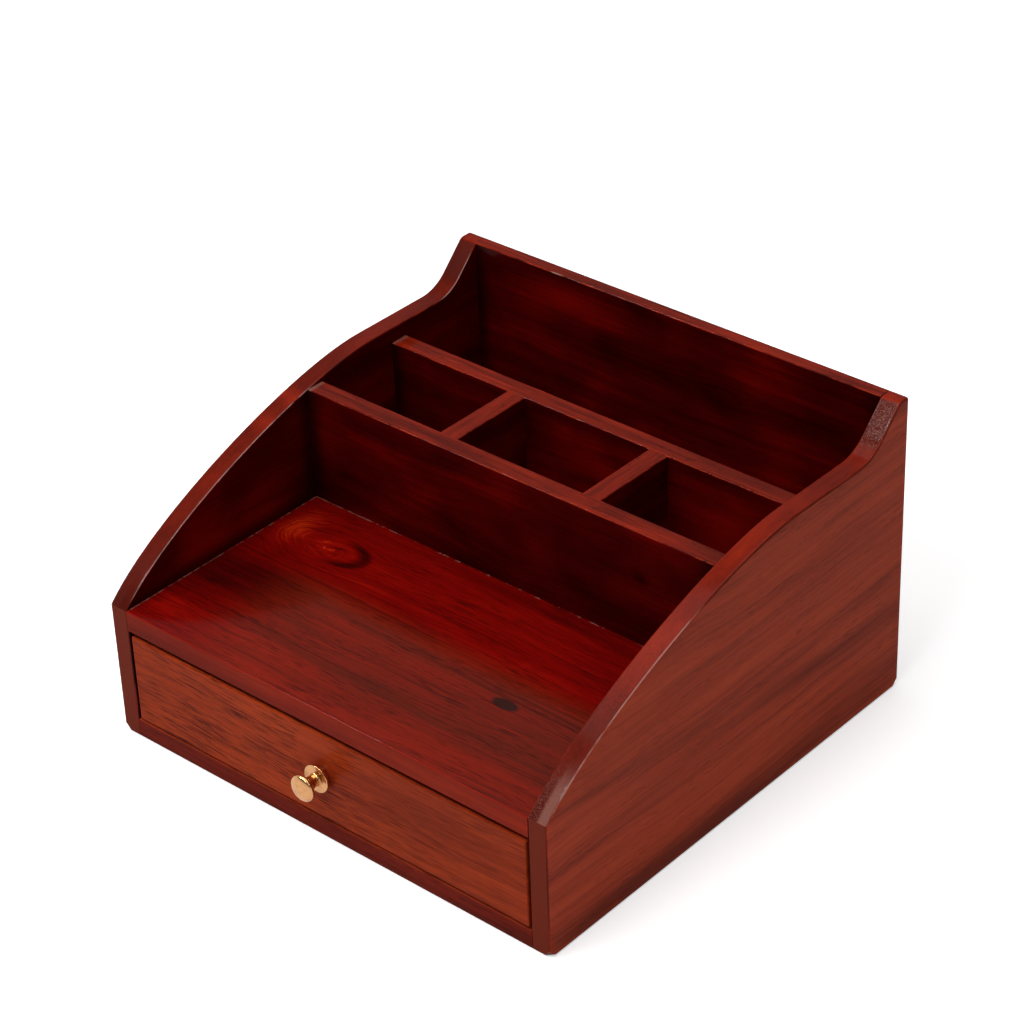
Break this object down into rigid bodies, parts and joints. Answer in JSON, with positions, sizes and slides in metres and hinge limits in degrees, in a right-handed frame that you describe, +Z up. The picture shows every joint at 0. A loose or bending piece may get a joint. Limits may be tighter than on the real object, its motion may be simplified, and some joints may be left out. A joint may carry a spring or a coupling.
{
  "type": "pen stand with drawer",
  "caption": "Wooden desk organizer with curved sides, an open front tray, pen compartments, a letter compartment along the back and a drawer with a round brass knob.",
  "frame": {"origin": "centre of the carcass footprint, on the underside that rests on the desk", "axes": "+X to the user's right, +Y to the back, +Z up; the drawer opens along -Y"},
  "size_m": [0.25, 0.255, 0.15],
  "materials": {
    "stained_hardwood": "solid hardwood with a red-brown mahogany stain under satin lacquer",
    "drawer_front_wood": "open-pored hardwood with a lighter red-brown stain under satin lacquer",
    "drawer_box_wood": "planed hardwood, thinly stained, no gloss",
    "plywood": "thin plywood, unfinished",
    "dowel_wood": "plain beech dowel, hidden in the joints",
    "brass": "turned and polished brass",
    "steel": "plain bright steel"
  },
  "bodies": {
    "carcass": {"side_panel_left": "stained_hardwood", "side_panel_right": "stained_hardwood", "back_panel": "stained_hardwood", "bottom_board": "stained_hardwood", "shelf_board": "stained_hardwood", "front_divider": "stained_hardwood", "rear_divider": "stained_hardwood", "cross_divider_left": "stained_hardwood", "cross_divider_right": "stained_hardwood", "bottom_board_dowels": "dowel_wood", "shelf_board_dowels": "dowel_wood", "back_panel_dowels": "dowel_wood", "front_divider_dowels": "dowel_wood", "rear_divider_dowels": "dowel_wood", "cross_divider_dowels": "dowel_wood"},
    "drawer": {"drawer_front": "drawer_front_wood", "drawer_side_left": "drawer_box_wood", "drawer_side_right": "drawer_box_wood", "drawer_back": "drawer_box_wood", "drawer_bottom": "plywood", "drawer_pins": "steel", "drawer_knob": "brass", "knob_screw": "steel"}
  },
  "joints": [
    {"name": "drawer_slide", "type": "slide", "parent": "carcass", "child": "drawer", "axis": [0, -1, 0], "range_m": [0, 0.19]}
  ]
}
